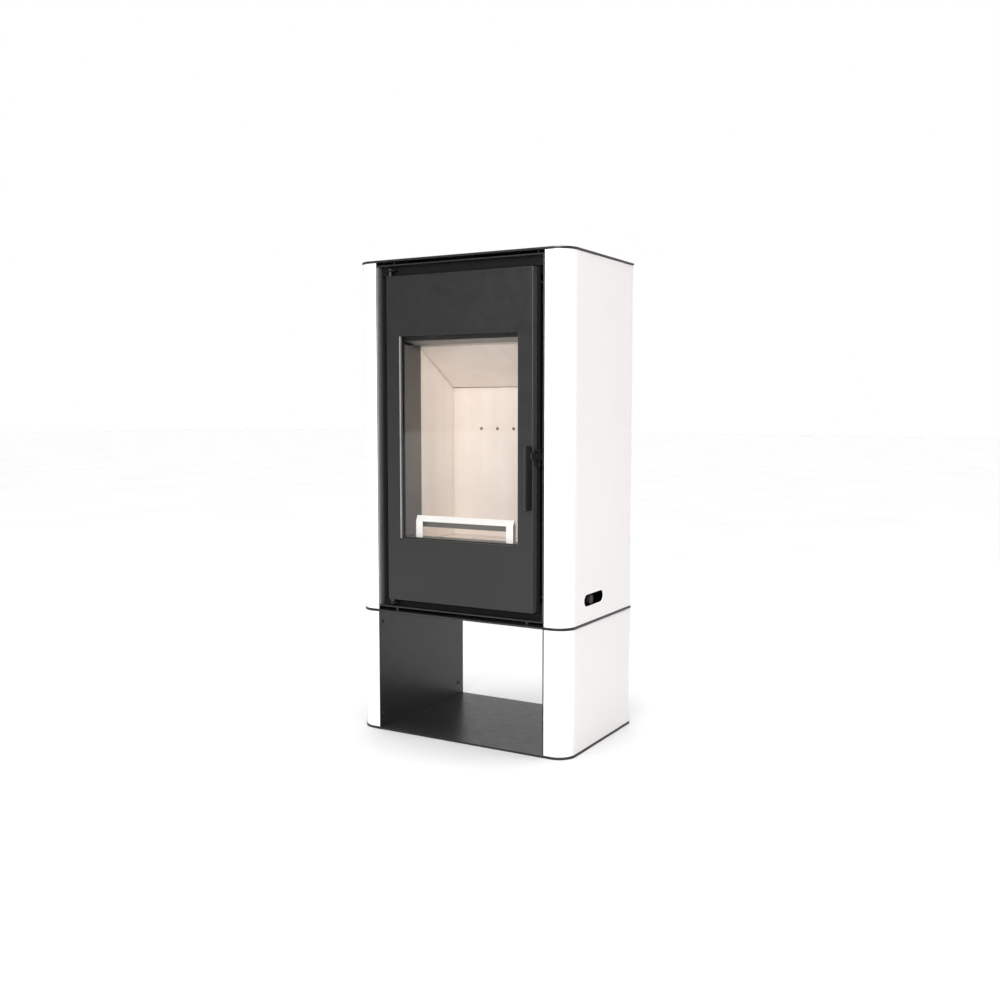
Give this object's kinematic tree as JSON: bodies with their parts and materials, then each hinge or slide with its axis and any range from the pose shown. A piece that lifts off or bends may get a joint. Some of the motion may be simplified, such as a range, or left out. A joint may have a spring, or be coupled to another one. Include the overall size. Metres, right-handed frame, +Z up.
{
  "type": "wood burning stove",
  "caption": "Tall narrow wood burning stove: white side panels, black glazed door, open log store below, side air control and a top flue socket.",
  "frame": {"origin": "middle of the stove's footprint, on the floor; front to back it is halfway between the front of the door handle and the back of the body", "axes": "+Z up, the door faces -Y, +X towards the handle and air control side"},
  "size_m": [0.56, 0.409, 1.107],
  "materials": {
    "white_paint": "satin white heat-resistant paint",
    "black_paint": "fine satin black heat-resistant paint",
    "firebox_steel": "matt dark grey steel",
    "vermiculite": "pale cream pressed vermiculite, fine grain",
    "stainless": "bright stainless sheet",
    "cast_iron": "rough dark casting",
    "glass": "clear ceramic fire glass",
    "glass_fibre": "graphited glass-fibre rope and tape",
    "blackened_steel": "black oxide steel fixings",
    "plated_steel": "plated steel"
  },
  "bodies": {
    "stove": {"air_box": "firebox_steel", "air_wash_deflector": "firebox_steel", "ash_pan": "firebox_steel", "baffle_board": "vermiculite", "base_plate": "black_paint", "body_bottom_plate": "black_paint", "body_top_plate": "black_paint", "casing_side_left": "black_paint", "casing_side_right": "black_paint", "door_catch": "black_paint", "door_reveals": "black_paint", "fire_cheeks": "firebox_steel", "fire_sill": "firebox_steel", "firebox_back": "firebox_steel", "firebox_bottom": "firebox_steel", "firebox_sides": "firebox_steel", "firebox_top": "firebox_steel", "floor_bricks": "vermiculite", "flue_collar": "black_paint", "front_frame": "black_paint", "grate": "cast_iron", "header_strip": "black_paint", "hearth_plate": "firebox_steel", "hinge_brackets": "black_paint", "hinge_pins": "blackened_steel", "lining_back": "vermiculite", "lining_left": "vermiculite", "lining_right": "vermiculite", "log_guard": "stainless", "lower_panel_left": "white_paint", "lower_panel_right": "white_paint", "middle_plate": "black_paint", "panel_brackets": "black_paint", "plate_spacers": "black_paint", "rear_heat_shield": "black_paint", "rear_screws": "blackened_steel", "secondary_air_duct": "firebox_steel", "sill_strip": "black_paint", "smoke_deflector": "firebox_steel", "store_wall_left": "black_paint", "store_wall_right": "black_paint", "store_wall_screws": "blackened_steel", "top_plate": "black_paint", "upper_panel_left": "white_paint", "upper_panel_right": "white_paint"},
    "door": {"door_shell": "black_paint", "hinge_bushes": "black_paint", "door_inner_frame": "black_paint", "door_rope_seal": "glass_fibre", "door_glass": "glass", "glass_gasket": "glass_fibre", "glass_clips": "plated_steel", "glass_clip_screws": "plated_steel", "latch_lugs": "black_paint"},
    "handle": {"door_handle": "black_paint", "latch_spindle": "blackened_steel"},
    "air_control": {"air_slider": "stainless", "air_slider_rod": "stainless", "air_knob": "black_paint"}
  },
  "joints": [
    {"name": "door_hinge", "type": "hinge", "parent": "stove", "child": "door", "pos_m": [-0.186, -0.161, 0.69], "axis": [0, 0, -1], "range_deg": [0, 110]},
    {"name": "handle_turn", "type": "hinge", "parent": "door", "child": "handle", "pos_m": [0.203, -0.159, 0.663], "axis": [0, 0, 1], "range_deg": [0, 30]},
    {"name": "air_slide", "type": "slide", "parent": "stove", "child": "air_control", "axis": [0, 1, 0], "range_m": [-0.024, 0.054]}
  ]
}
